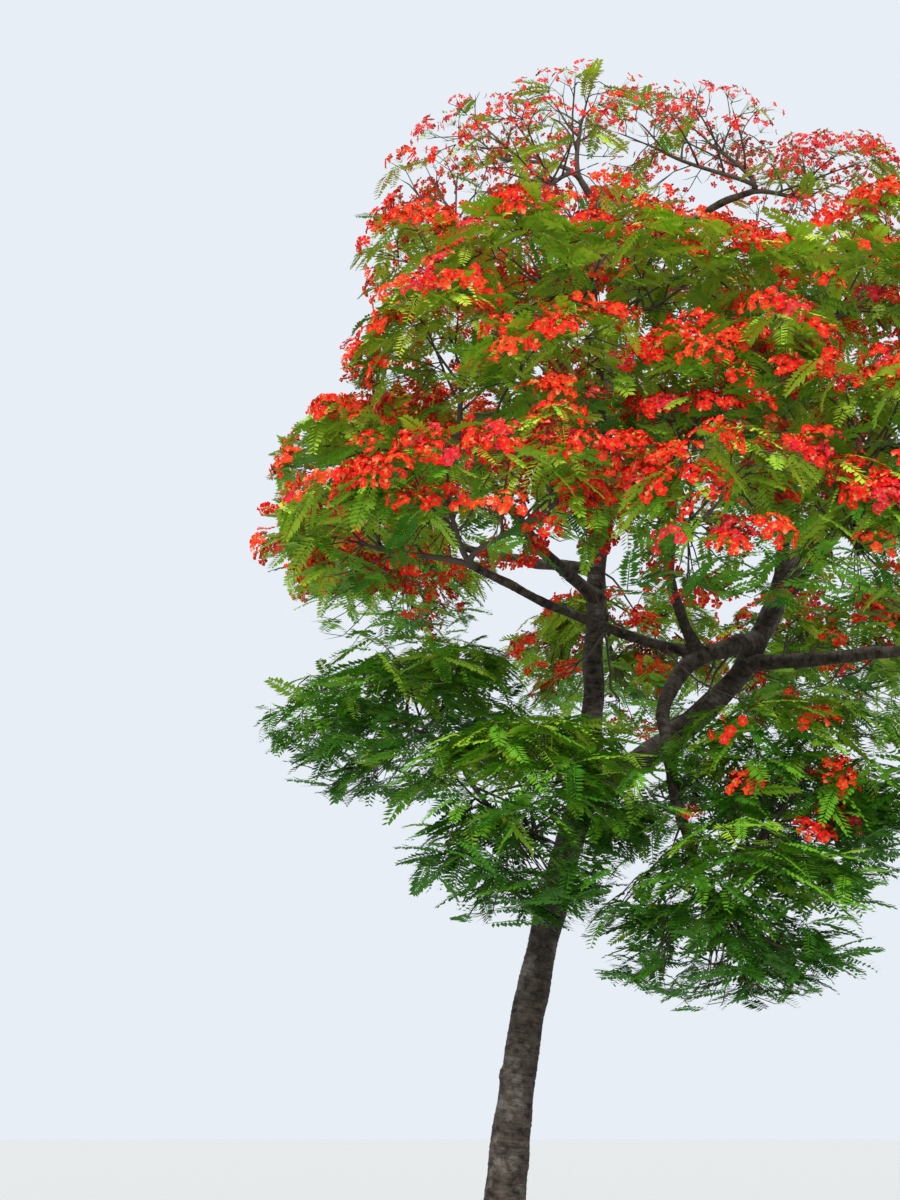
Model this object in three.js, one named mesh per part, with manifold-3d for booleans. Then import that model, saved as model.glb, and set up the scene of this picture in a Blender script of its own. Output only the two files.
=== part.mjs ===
// Flame tree in flower, rooted at ground level.
// Millimetres, Z up, the origin in the flat cut under the trunk, the open front of the crown toward -Y.

import * as THREE from 'three';
import { mergeVertices } from 'three/addons/utils/BufferGeometryUtils.js';
import Module from 'manifold-3d';

const wasm = await Module();
wasm.setup();

// Sizes shared by the whole tree
const gap = 0.3; // where one piece meets another
const smallest = 0.1; // edges that fusing leaves shorter than this are closed up
const down = new THREE.Vector3(0, 0, -1);
const goldenAngle = Math.PI * (3 - Math.sqrt(5));

const trunk = {
  height: 4660, // ground to fork
  lean: 840, // the fork stands this far off the foot
  plumb: 0.32, // how far up its foot pulls it straight, as a share of its height
  elbow: { lean: 0.4, height: 0.71 }, // where its fork pulls it from
  coreRadius: 130,
  footRadius: 110, // added at the foot, fading slowly upward
  footFade: 1600,
  flareRadius: 85, // added by the root flare
  flareFade: 230,
  lobes: 5,
  lobeShare: 0.2, // how strongly the flare is fluted
  sides: 18,
  steps: 10,
  ringAt: (share) => share ** 1.5, // rings lie closer toward the foot
};

const limb = { sides: 7, steps: 4, pull: 0.35 }; // pull is how far a curve holds its end headings
const stem = { sides: 4, steps: 3, radius: 24, tipRadius: 19, climb: 31 };
const twig = {
  count: 4,
  sides: 3,
  steps: 1,
  radius: 14,
  tipRadius: 10,
  first: 0.96, // twigs part from the stem between these shares of its length
  last: 0.69,
  nearest: 0.194, // and end this far out from the mass's centre, as shares of its spread
  farthest: 0.474,
  dome: 0.7, // the dome they end on, how far it is lifted and how far they miss it, as shares of its height
  lift: -0.18,
  waver: 0.15,
  settle: 0.3, // how much of their climb they keep at their ends
};
const spray = {
  corners: 6,
  outline: [ // from the middle finger's tip round one side to the root
    { angle: 0, out: 1, drop: 0.2 },
    { angle: 26, out: 0.6, drop: 0.02 },
    { angle: 54, out: 0.85, drop: 0.14 },
    { angle: 0, out: 0, drop: 0 },
  ],
  thickness: 0.02,
  thickest: 0.05, // close to the root
  lengths: [0.76, 0.64, 0.52, 0.42], // tried in turn, as shares of the mass's spread
  lowest: -0.6, // how steeply sprays hang or rise, against a run of 1
  highest: 0.3,
  roll: 32, // degrees either way
  sway: 12,
  underBlossom: 0.72, // sprays stand lower on a twig that ends in blossom
  places: [
    { share: 0.95, swing: 0 },
    { share: 0.66, swing: 80 },
    { share: 0.5, swing: -80 },
  ],
};
const blossom = { radius: 190, height: 130, cup: 0.55, petals: 5, notch: 0.45, sunk: 60, upturn: 0.9 };
const space = { flatness: 0.62, margin: 5 }; // height against width, and half the open wall between masses
const mostlyRed = 0.55; // masses with more bloom than this are scarlet
const seedStep = 1009;

const bark = new THREE.MeshStandardMaterial({ color: 0x4f463f, roughness: 0.95, metalness: 0 });
const green = new THREE.MeshStandardMaterial({ color: 0x5f8a2c, roughness: 0.6, metalness: 0 });
const scarlet = new THREE.MeshStandardMaterial({ color: 0xd8391f, roughness: 0.6, metalness: 0 });

// Each bough leaves its parent at a share of the parent's length. Its tip lies on a compass heading (0 is +X,
// 90 is +Y, degrees), so far out and so far up. It leaves and arrives on its own heading and climb.
// Each mass of foliage hangs on its bough's tip in the same way, with half its width as its spread.
const boughs = {
  left_leader: {
    parent: 'trunk', share: 0.985, heading: 34, reach: 900, rise: 6050,
    leaves: [0, 80], arrives: [30, 68], radii: [118, 46], sides: 10, steps: 8,
  },
  right_leader: {
    parent: 'trunk', share: 0.985, heading: -12, reach: 1950, rise: 2000,
    leaves: [0, 28], arrives: [-12, 70], radii: [138, 88], sides: 10, steps: 5,
  },
  cross_bough: {
    parent: 'right_leader', share: 0.8, heading: -140, reach: 800, rise: -250,
    leaves: [-140, -5], arrives: [-165, 0], radii: [98, 80], sides: 8, steps: 3,
  },
  top_left_bough: {
    parent: 'left_leader', share: 1, heading: -160, reach: 650, rise: 750,
    leaves: [-160, 40], arrives: [-170, 60], radii: [52, 46],
    masses: {
      highest_mass: { heading: 90, reach: 50, rise: 750, spread: 900, bloom: 0.35 },
      top_left_mass: { heading: 170, reach: 950, rise: 400, spread: 950, bloom: 0.6 },
      top_left_front_mass: { heading: -120, reach: 950, rise: -400, spread: 1050, bloom: 0.5 },
    },
  },
  top_right_bough: {
    parent: 'left_leader', share: 1, heading: -15, reach: 1250, rise: 550,
    leaves: [-10, 25], arrives: [-5, 15], radii: [52, 46],
    masses: {
      top_right_mass: { heading: -175, reach: 450, rise: 550, spread: 900, bloom: 0.8 },
      far_top_right_mass: { heading: 5, reach: 700, rise: 0, spread: 1000, bloom: 0.7 },
      top_centre_mass: { heading: -160, reach: 1100, rise: 300, spread: 950, bloom: 0.5 },
    },
  },
  top_back_bough: {
    parent: 'left_leader', share: 0.88, heading: 80, reach: 1550, rise: 950,
    leaves: [85, 30], arrives: [80, 35], radii: [52, 46],
    masses: {
      back_top_left_mass: { heading: 180, reach: 1000, rise: 600, spread: 1300, bloom: 0.5 },
      back_top_right_mass: { heading: 0, reach: 900, rise: 150, spread: 1300, bloom: 0.6 },
    },
  },
  left_upper_bough: {
    parent: 'left_leader', share: 0.55, heading: 180, reach: 1300, rise: 1900,
    leaves: [175, 30], arrives: [190, 40], radii: [60, 46],
    masses: {
      left_upper_mass: { heading: -110, reach: 700, rise: -50, spread: 1050, bloom: 0.7 },
      left_shoulder_mass: { heading: 110, reach: 750, rise: 1450, spread: 1050, bloom: 0.6 },
    },
  },
  front_upper_bough: {
    parent: 'left_leader', share: 0.5, heading: -95, reach: 2000, rise: 1050,
    leaves: [-95, 20], arrives: [-100, 40], radii: [62, 46],
    masses: {
      front_upper_left_mass: { heading: -150, reach: 650, rise: 300, spread: 1150, bloom: 0.4 },
      front_upper_right_mass: { heading: -20, reach: 650, rise: 100, spread: 1150, bloom: 0.4 },
      front_top_mass: { heading: 85, reach: 800, rise: 1100, spread: 1100, bloom: 0.5 },
    },
  },
  front_left_bough: {
    parent: 'left_leader', share: 0.33, heading: -125, reach: 2350, rise: 950,
    leaves: [-130, 15], arrives: [-125, 35], radii: [66, 46],
    masses: {
      front_left_mass: { heading: -90, reach: 400, rise: 600, spread: 1150, bloom: 0.6 },
      left_side_mass: { heading: 140, reach: 1200, rise: 0, spread: 1050, bloom: 0.5 },
      front_middle_mass: { heading: -50, reach: 1300, rise: 100, spread: 1100, bloom: 0.6 },
    },
  },
  back_left_bough: {
    parent: 'left_leader', share: 0.38, heading: 135, reach: 2250, rise: 950,
    leaves: [140, 20], arrives: [135, 40], radii: [64, 46],
    masses: {
      back_left_upper_mass: { heading: 145, reach: 350, rise: 1000, spread: 1300, bloom: 0.6 },
      back_left_lower_mass: { heading: -160, reach: 650, rise: -600, spread: 1300, bloom: 0.4 },
    },
  },
  back_bough: {
    parent: 'left_leader', share: 0.45, heading: 85, reach: 2450, rise: 1000,
    leaves: [90, 15], arrives: [85, 40], radii: [62, 46],
    masses: {
      back_upper_mass: { heading: 70, reach: 300, rise: 1000, spread: 1350, bloom: 0.6 },
      back_lower_mass: { heading: 70, reach: 600, rise: -1600, spread: 1400, bloom: 0.4 },
    },
  },
  low_left_bough: {
    parent: 'left_leader', share: 0.06, heading: -140, reach: 1500, rise: -50,
    leaves: [-165, 20], arrives: [-140, 0], radii: [52, 46],
    masses: {
      low_front_mass: { heading: -55, reach: 1100, rise: -850, spread: 1500, bloom: 0 },
      low_left_mass: { heading: -170, reach: 650, rise: 250, spread: 1350, bloom: 0 },
    },
  },
  right_upper_bough: {
    parent: 'right_leader', share: 1, heading: -75, reach: 500, rise: 2250,
    leaves: [-20, 75], arrives: [-60, 70], radii: [68, 46], steps: 5,
    masses: {
      right_upper_front_mass: { heading: -120, reach: 1000, rise: 100, spread: 1250, bloom: 0.4 },
      right_upper_side_mass: { heading: -30, reach: 650, rise: 350, spread: 1150, bloom: 0.4 },
    },
  },
  right_side_bough: {
    parent: 'right_leader', share: 0.97, heading: 20, reach: 1600, rise: 2700,
    leaves: [20, 50], arrives: [10, 55], radii: [66, 46], steps: 5,
    masses: {
      right_top_mass: { heading: -45, reach: 150, rise: 1100, spread: 1200, bloom: 0.6 },
      right_shoulder_mass: { heading: -35, reach: 850, rise: -200, spread: 1250, bloom: 0.8 },
    },
  },
  back_right_bough: {
    parent: 'right_leader', share: 0.82, heading: 70, reach: 2750, rise: 1750,
    leaves: [65, 25], arrives: [60, 40], radii: [70, 46], steps: 5,
    masses: {
      back_right_upper_mass: { heading: 70, reach: 300, rise: 1100, spread: 1350, bloom: 0.6 },
      back_right_lower_mass: { heading: -20, reach: 300, rise: -1350, spread: 1400, bloom: 0.4 },
    },
  },
  long_right_bough: {
    parent: 'right_leader', share: 0.72, heading: -20, reach: 2800, rise: 400,
    leaves: [-35, -8], arrives: [0, 35], radii: [76, 46], steps: 6,
    masses: {
      far_right_mass: { heading: 45, reach: 850, rise: 900, spread: 1250, bloom: 0.5 },
      far_right_front_mass: { heading: -105, reach: 800, rise: 600, spread: 1200, bloom: 0.3 },
    },
  },
  front_centre_bough: {
    parent: 'cross_bough', share: 1, heading: -105, reach: 1700, rise: 600,
    leaves: [-130, 35], arrives: [-95, 10], radii: [56, 46],
    masses: {
      front_low_centre_mass: { heading: -85, reach: 1000, rise: -150, spread: 1150, bloom: 0.9 },
      front_band_mass: { heading: -30, reach: 500, rise: 1250, spread: 1250, bloom: 0.8 },
    },
  },
  front_low_bough: {
    parent: 'cross_bough', share: 1, heading: -140, reach: 2800, rise: 300,
    leaves: [-165, 8], arrives: [-135, 8], radii: [52, 46], steps: 5,
    masses: {
      front_low_left_mass: { heading: -120, reach: 450, rise: 450, spread: 1050, bloom: 0.9 },
      front_low_middle_mass: { heading: -45, reach: 1050, rise: 350, spread: 1100, bloom: 0.9 },
      low_left_tip_mass: { heading: 155, reach: 1050, rise: 350, spread: 950, bloom: 0.8 },
    },
  },
  right_front_bough: {
    parent: 'right_leader', share: 0.88, heading: -80, reach: 2000, rise: 400,
    leaves: [-75, 20], arrives: [-80, 25], radii: [62, 46],
    masses: {
      right_front_mass: { heading: -80, reach: 700, rise: 500, spread: 1150, bloom: 0.9 },
      right_front_lower_mass: { heading: -95, reach: 800, rise: -500, spread: 1100, bloom: 0.6 },
    },
  },
  drooping_bough: {
    parent: 'cross_bough', share: 1, heading: -100, reach: 750, rise: -2350,
    leaves: [-165, -35], arrives: [-30, -75], radii: [76, 46], steps: 6,
    masses: {
      low_right_mass: { heading: -5, reach: 750, rise: 850, spread: 1450, bloom: 0.3 },
      low_skirt_mass: { heading: -60, reach: 350, rise: -100, spread: 1450, bloom: 0 },
    },
  },
};

function direction(heading, climb) {
  const around = THREE.MathUtils.degToRad(heading);
  const up = THREE.MathUtils.degToRad(climb);
  return new THREE.Vector3(Math.cos(around) * Math.cos(up), Math.sin(around) * Math.cos(up), Math.sin(up));
}

function offset(from, { heading, reach, rise }) {
  return from.clone().addScaledVector(direction(heading, 0), reach).add(new THREE.Vector3(0, 0, rise));
}

function seededShares(seed) {
  let state = seed;
  return () => {
    state = (state * 16807) % 2147483647;
    return state / 2147483647;
  };
}

function toSolid(shape) {
  shape.deleteAttribute('normal');
  shape.deleteAttribute('uv');
  const joined = mergeVertices(shape);
  const vertProperties = new Float32Array(joined.attributes.position.array);
  const triVerts = new Uint32Array(joined.index.array);
  return new wasm.Manifold(new wasm.Mesh({ numProp: 3, vertProperties, triVerts }));
}

function largestPiece(solid) {
  return solid.decompose().reduce((best, piece) => (piece.volume() > best.volume() ? piece : best));
}

function toMesh(name, solid, material, place) {
  const { vertProperties, triVerts } = solid.translate(place.clone().negate().toArray()).getMesh();
  const shape = new THREE.BufferGeometry();
  shape.setAttribute('position', new THREE.BufferAttribute(new Float32Array(vertProperties), 3));
  shape.setIndex(new THREE.BufferAttribute(new Uint32Array(triVerts), 1));
  shape.computeVertexNormals();
  const mesh = new THREE.Mesh(shape, material);
  mesh.name = name;
  mesh.position.copy(place);
  return mesh;
}

// The world axis that a direction runs along least
function quietAxis(chord) {
  const lengths = [Math.abs(chord.x), Math.abs(chord.y), Math.abs(chord.z)];
  return new THREE.Vector3().setComponent(lengths.indexOf(Math.min(...lengths)), 1);
}

// A limb with flat ends; grown makes it thicker and longer all round
function bendAlong(curve, { sides, steps, ringAt = (share) => share }, radiusAt, grown = 0) {
  const shape = new THREE.CylinderGeometry(1, 1, 1, sides, steps);
  const spots = shape.attributes.position;
  const across = quietAxis(curve.getPoint(1).sub(curve.getPoint(0)));
  for (let i = 0; i < spots.count; i += 1) {
    const share = ringAt(spots.getY(i) + 0.5);
    const angle = Math.atan2(spots.getZ(i), spots.getX(i));
    const radius = (radiusAt(share, angle) + grown) * Math.hypot(spots.getX(i), spots.getZ(i));
    const along = curve.getTangentAt(share);
    const side = across.clone().cross(along).normalize();
    const other = side.clone().cross(along);
    const spot = curve.getPointAt(share);
    spot.addScaledVector(side, radius * Math.cos(angle)).addScaledVector(other, radius * Math.sin(angle));
    spot.addScaledVector(along, grown * (Number(share === 1) - Number(share === 0)));
    spots.setXYZ(i, spot.x, spot.y, spot.z);
  }
  return toSolid(shape);
}

// A place on the straight pieces that a limb's rings really follow
function onSpine(curve, steps, share) {
  const ring = Math.min(Math.floor(share * steps), steps - 1);
  return curve.getPointAt(ring / steps).lerp(curve.getPointAt((ring + 1) / steps), share * steps - ring);
}

function curveBetween(start, end, leaves, arrives) {
  const length = start.distanceTo(end) * limb.pull;
  const first = start.clone().addScaledVector(leaves, length);
  const last = end.clone().addScaledVector(arrives, -length);
  return new THREE.CubicBezierCurve3(start, first, last, end);
}

function taper(first, last) {
  return (share) => THREE.MathUtils.lerp(first, last, share);
}

function trunkCurve() {
  return new THREE.CubicBezierCurve3(
    new THREE.Vector3(0, 0, 0),
    new THREE.Vector3(0, 0, trunk.height * trunk.plumb),
    new THREE.Vector3(trunk.lean * trunk.elbow.lean, 0, trunk.height * trunk.elbow.height),
    new THREE.Vector3(trunk.lean, 0, trunk.height),
  );
}

function trunkRadius(share, angle) {
  const height = share * trunk.height;
  const foot = trunk.footRadius * Math.exp(-height / trunk.footFade);
  const flare = Math.exp(-height / trunk.flareFade);
  const flute = 1 + trunk.lobeShare * flare * Math.cos(trunk.lobes * angle);
  return (trunk.coreRadius + foot + trunk.flareRadius * flare) * flute;
}

// Trunk and boughs

const curves = { trunk: trunkCurve() };
for (const [name, bough] of Object.entries(boughs)) {
  const start = curves[bough.parent].getPointAt(bough.share);
  const leaves = direction(...bough.leaves);
  const arrives = direction(...bough.arrives);
  curves[name] = curveBetween(start, offset(start, bough), leaves, arrives);
}

function limbSolid(name, grown = 0) {
  if (name === 'trunk') {
    return bendAlong(curves.trunk, trunk, trunkRadius, grown);
  }
  const { radii, sides = limb.sides, steps = limb.steps } = boughs[name];
  return bendAlong(curves[name], { sides, steps }, taper(...radii), grown);
}

const limbs = {};
const wideLimbs = {};
for (const name of Object.keys(curves)) {
  let solid = limbSolid(name);
  for (const wide of Object.values(wideLimbs)) {
    solid = solid.subtract(wide);
  }
  limbs[name] = largestPiece(solid);
  wideLimbs[name] = limbSolid(name, gap);
}

// Stems, one to each mass, side by side on their bough's end

function endOffsets(centres, tip, along, endRadius, stemRadius) {
  const side = quietAxis(along).cross(along).normalize();
  const other = side.clone().cross(along);
  const spots = centres.map((centre, index) => {
    const away = centre.clone().sub(tip);
    return { index, angle: Math.atan2(away.dot(other), away.dot(side)) };
  });
  spots.sort((a, b) => a.angle - b.angle);
  const turn = (2 * Math.PI) / spots.length;
  const swing = new THREE.Vector2();
  spots.forEach((spot, rank) => {
    swing.x += Math.cos(spot.angle - rank * turn);
    swing.y += Math.sin(spot.angle - rank * turn);
  });
  const offsets = [];
  spots.forEach((spot, rank) => {
    const angle = Math.atan2(swing.y, swing.x) + rank * turn;
    const away = side.clone().multiplyScalar(Math.cos(angle)).addScaledVector(other, Math.sin(angle));
    offsets[spot.index] = away.multiplyScalar(endRadius - stemRadius);
  });
  return offsets;
}

const masses = [];
for (const [name, bough] of Object.entries(boughs)) {
  const tip = curves[name].getPointAt(1);
  const along = curves[name].getTangentAt(1);
  const entries = Object.entries(bough.masses ?? {});
  const centres = entries.map(([, mass]) => offset(tip, mass));
  const endRadius = bough.radii[1];
  const roomEach = endRadius / (1 + 1 / Math.sin(Math.PI / Math.max(entries.length, 2))) - gap;
  const stemRadius = Math.min(stem.radius, roomEach);
  const offsets = endOffsets(centres, tip, along, endRadius, stemRadius);
  entries.forEach(([massName, mass], index) => {
    const start = tip.clone().add(offsets[index]).addScaledVector(along, gap);
    const away = centres[index].clone().sub(start);
    const arrives = direction(THREE.MathUtils.radToDeg(Math.atan2(away.y, away.x)), stem.climb);
    const curve = curveBetween(start, centres[index], along, arrives);
    const radiusAt = taper(stemRadius, stem.tipRadius);
    masses.push({
      name: massName,
      bough: name,
      ...mass,
      centre: centres[index],
      curve,
      solid: bendAlong(curve, stem, radiusAt),
      wide: bendAlong(curve, stem, radiusAt, gap),
    });
  });
}

// A mass keeps to a flattened ball about its centre, parted from its neighbours by flat walls

function stretched(point) {
  return point.clone().setZ(point.z / space.flatness);
}

function power(point, mass) {
  return stretched(point).distanceToSquared(stretched(mass.centre)) - mass.spread ** 2;
}

function staysInside(point, own) {
  const ownPower = power(point, own);
  if (ownPower > 0) {
    return false;
  }
  return masses.every((other) => {
    if (other === own) {
      return true;
    }
    const apart = stretched(other.centre).distanceTo(stretched(own.centre));
    return (power(point, other) - ownPower) / (2 * apart) > space.margin;
  });
}

function boxesMeet(a, b) {
  const first = a.boundingBox();
  const second = b.boundingBox();
  return [0, 1, 2].every((k) => first.min[k] <= second.max[k] && second.min[k] <= first.max[k]);
}

function meetsAny(solid, others) {
  return others.some((other) => boxesMeet(solid, other) && solid.intersect(other).volume() > 0);
}

// A spray of leaves is a thin fan of three drooping fingers, its root the point opposite the middle finger
function spraySolid(root, along, roll, length) {
  const side = down.clone().cross(along).negate().normalize().applyAxisAngle(along, roll);
  const up = along.clone().cross(side);
  const shape = new THREE.ConeGeometry(1, 1, spray.corners);
  const spots = shape.attributes.position;
  const points = [];
  for (let i = 0; i < spots.count; i += 1) {
    const spot = root.clone();
    if (Math.hypot(spots.getX(i), spots.getZ(i)) > 0.5) {
      const turn = Math.atan2(spots.getX(i), spots.getZ(i));
      const corner = spray.outline[Math.round((Math.abs(turn) * spray.corners) / (2 * Math.PI))];
      const angle = THREE.MathUtils.degToRad(corner.angle) * Math.sign(turn);
      spot.addScaledVector(along, length * corner.out * Math.cos(angle));
      spot.addScaledVector(side, length * corner.out * Math.sin(angle));
      spot.z -= length * corner.drop;
    } else {
      spot.addScaledVector(along, length * spray.thickest);
      spot.addScaledVector(up, (Math.sign(spots.getY(i)) * length * spray.thickness) / 2);
    }
    spots.setXYZ(i, spot.x, spot.y, spot.z);
    points.push(spot);
  }
  return { solid: toSolid(shape), points };
}

function blossomSolid(tip, along) {
  const shape = new THREE.ConeGeometry(1, 1, blossom.petals * 2);
  const turn = new THREE.Quaternion().setFromUnitVectors(new THREE.Vector3(0, -1, 0), along);
  const spots = shape.attributes.position;
  const points = [];
  for (let i = 0; i < spots.count; i += 1) {
    const outward = Math.hypot(spots.getX(i), spots.getZ(i));
    const angle = Math.atan2(spots.getZ(i), spots.getX(i));
    const onPetal = Math.sin(angle * blossom.petals) > 0;
    const radius = outward * blossom.radius * (onPetal ? 1 : blossom.notch);
    let depth = spots.getY(i) > 0 ? 0 : -blossom.height;
    if (depth < 0 && outward < 0.5) {
      depth *= blossom.cup;
    }
    const spot = new THREE.Vector3(radius * Math.cos(angle), depth, radius * Math.sin(angle));
    spot.applyQuaternion(turn).add(tip).addScaledVector(along, -blossom.sunk);
    spots.setXYZ(i, spot.x, spot.y, spot.z);
    points.push(spot);
  }
  return { solid: toSolid(shape), points };
}

// A twig, head or spray is kept where it is clear of the limbs, of other masses' stems and of what it mustn't cross
function fits({ solid, points }, own, others) {
  if (!points.every((point) => staysInside(point, own))) {
    return false;
  }
  const stems = masses.filter((mass) => mass !== own).map((mass) => mass.wide);
  return !meetsAny(solid, [...Object.values(wideLimbs), ...stems, ...others]);
}

// Twigs part from the stem toward a spiral of places on the mass's dome
function layTwigs(own, draw) {
  const twigs = [];
  const swing = draw() * 2 * Math.PI;
  for (let k = 0; k < twig.count; k += 1) {
    const rank = k / (twig.count - 1);
    const out = Math.sqrt(THREE.MathUtils.lerp(twig.nearest ** 2, twig.farthest ** 2, rank));
    const around = THREE.MathUtils.radToDeg(swing + k * goldenAngle);
    const start = onSpine(own.curve, stem.steps, THREE.MathUtils.lerp(twig.first, twig.last, rank));
    const level = twig.dome * Math.sqrt(1 - out * out) + twig.lift + twig.waver * (draw() - 0.5);
    const end = own.centre.clone().addScaledVector(direction(around, 0), out * own.spread);
    end.z += level * own.spread * space.flatness;
    const outward = end.clone().sub(start).normalize();
    const curve = curveBetween(start, end, outward, outward.clone().setZ(outward.z * twig.settle).normalize());
    const solid = bendAlong(curve, twig, taper(twig.radius, twig.tipRadius));
    const inBloom = draw() < own.bloom;
    if (fits({ solid, points: [end] }, own, twigs.map((other) => other.solid))) {
      twigs.push({ curve, end, outward, solid, inBloom });
    }
  }
  return twigs;
}

function layBlossoms(own, twigs) {
  const heads = [];
  for (const { end, outward, solid } of twigs.filter((one) => one.inBloom)) {
    const others = twigs.map((one) => one.solid).filter((other) => other !== solid);
    const head = blossomSolid(end, outward.clone().setZ(Math.abs(outward.z) + blossom.upturn).normalize());
    if (fits(head, own, [own.solid, ...others, ...heads])) {
      heads.push(head.solid);
    }
  }
  return heads;
}

// Sprays stand at the end of each twig and then on its sides, and one with no room is tried smaller
function laySprays(own, twigs, heads, draw) {
  const found = [];
  for (const { share, swing } of spray.places) {
    for (const { curve, solid, inBloom } of twigs) {
      const place = inBloom ? share * spray.underBlossom : share;
      const along = curve.getTangentAt(place).setZ(0).normalize();
      along.applyAxisAngle(down, THREE.MathUtils.degToRad(swing + spray.sway * (2 * draw() - 1)));
      along.setZ(THREE.MathUtils.lerp(spray.lowest, spray.highest, draw())).normalize();
      const roll = THREE.MathUtils.degToRad(spray.roll) * (2 * draw() - 1);
      const others = twigs.map((one) => one.solid).filter((other) => other !== solid);
      const root = onSpine(curve, twig.steps, place);
      for (const length of spray.lengths) {
        const fan = spraySolid(root, along, roll, own.spread * length);
        if (fits(fan, own, [own.solid, ...others, ...heads, ...found])) {
          found.push(fan.solid);
          break;
        }
      }
    }
  }
  return found;
}

function growMass(own, seed) {
  const draw = seededShares(seed);
  const twigs = layTwigs(own, draw);
  const heads = layBlossoms(own, twigs);
  const leaves = laySprays(own, twigs, heads, draw);
  const fused = wasm.Manifold.union([own.solid, ...twigs.map((one) => one.solid), ...heads, ...leaves]);
  return largestPiece(fused.simplify(smallest));
}

// Each bough's group stands at the bough's foot and holds its masses, each placed at its own centre

const flameTree = new THREE.Group();
flameTree.name = 'flame_tree';
const groups = {};
for (const [name, solid] of Object.entries(limbs)) {
  const group = new THREE.Group();
  group.name = `${name}_group`;
  group.position.copy(curves[name].getPoint(0));
  group.attach(toMesh(name, solid, bark.clone(), group.position));
  flameTree.add(group);
  groups[name] = group;
}
masses.forEach((mass, index) => {
  const solid = growMass(mass, seedStep * (index + 1));
  const colour = mass.bloom > mostlyRed ? scarlet : green;
  groups[mass.bough].attach(toMesh(mass.name, solid, colour.clone(), mass.centre));
});

export default flameTree;
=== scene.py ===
import math

import bpy
import numpy as np
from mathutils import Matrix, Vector, noise


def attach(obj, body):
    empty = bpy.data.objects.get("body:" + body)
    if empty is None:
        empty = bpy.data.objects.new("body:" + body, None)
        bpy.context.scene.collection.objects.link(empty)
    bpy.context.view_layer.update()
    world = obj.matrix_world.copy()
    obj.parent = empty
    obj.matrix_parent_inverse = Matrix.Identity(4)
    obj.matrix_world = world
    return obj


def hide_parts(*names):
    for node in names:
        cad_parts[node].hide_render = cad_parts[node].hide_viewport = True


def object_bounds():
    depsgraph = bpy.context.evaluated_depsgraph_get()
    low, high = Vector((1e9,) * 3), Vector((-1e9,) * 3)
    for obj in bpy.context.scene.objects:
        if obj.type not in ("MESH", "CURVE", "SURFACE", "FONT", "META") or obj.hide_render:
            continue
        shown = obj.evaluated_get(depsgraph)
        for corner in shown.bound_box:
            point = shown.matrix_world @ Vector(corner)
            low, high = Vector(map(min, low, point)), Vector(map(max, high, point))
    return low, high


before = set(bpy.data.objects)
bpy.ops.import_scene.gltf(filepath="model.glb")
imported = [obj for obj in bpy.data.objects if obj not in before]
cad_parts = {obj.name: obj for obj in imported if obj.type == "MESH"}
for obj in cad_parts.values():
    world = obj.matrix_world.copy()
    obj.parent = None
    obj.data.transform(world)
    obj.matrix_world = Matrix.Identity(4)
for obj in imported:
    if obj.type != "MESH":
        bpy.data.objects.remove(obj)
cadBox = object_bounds()
scene = bpy.context.scene
up = np.array([0.0, 0.0, 1.0])
print("solids loaded:", len(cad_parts))


def linear(colour):  # sRGB hex to linear
    parts = [int(colour[i:i + 2], 16) / 255 for i in (1, 3, 5)]
    return (*[c / 12.92 if c <= 0.04045 else ((c + 0.055) / 1.055) ** 2.4 for c in parts], 1.0)


# Camera: eye height, close under the crown, tilted up; the picture is 900 by 1200
view = {"place": (-0.45, -17.0, 1.6), "tilt": 16.4, "lens": 54.0}
bpy.ops.object.camera_add(location=view["place"], rotation=(math.radians(90 + view["tilt"]), 0, 0))
camera = bpy.context.object
camera.data.lens = view["lens"]
scene.camera = camera

# Sizes of the solids in metres, with the same tables of boughs and masses
trunk = {
    "height": 4.66, "lean": 0.84, "plumb": 0.32, "elbow": (0.4, 0.71),
    "core": 0.130, "foot": 0.110, "footFade": 1.6, "flare": 0.085, "flareFade": 0.23,
    "flutes": 5, "fluteDepth": 0.2, "fluteTop": 1.5,
}
pull = 0.35  # how far a curve holds its end headings
lineSpots = 121  # points worked out along each limb's line
boughEnd = 0.046  # radius of a bough's end
flatness = 0.62  # a mass's height against its width
margin = 0.005  # half the open wall between masses
past = 0.08  # how far a leaf may reach out past the sides of the solids' box

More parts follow.
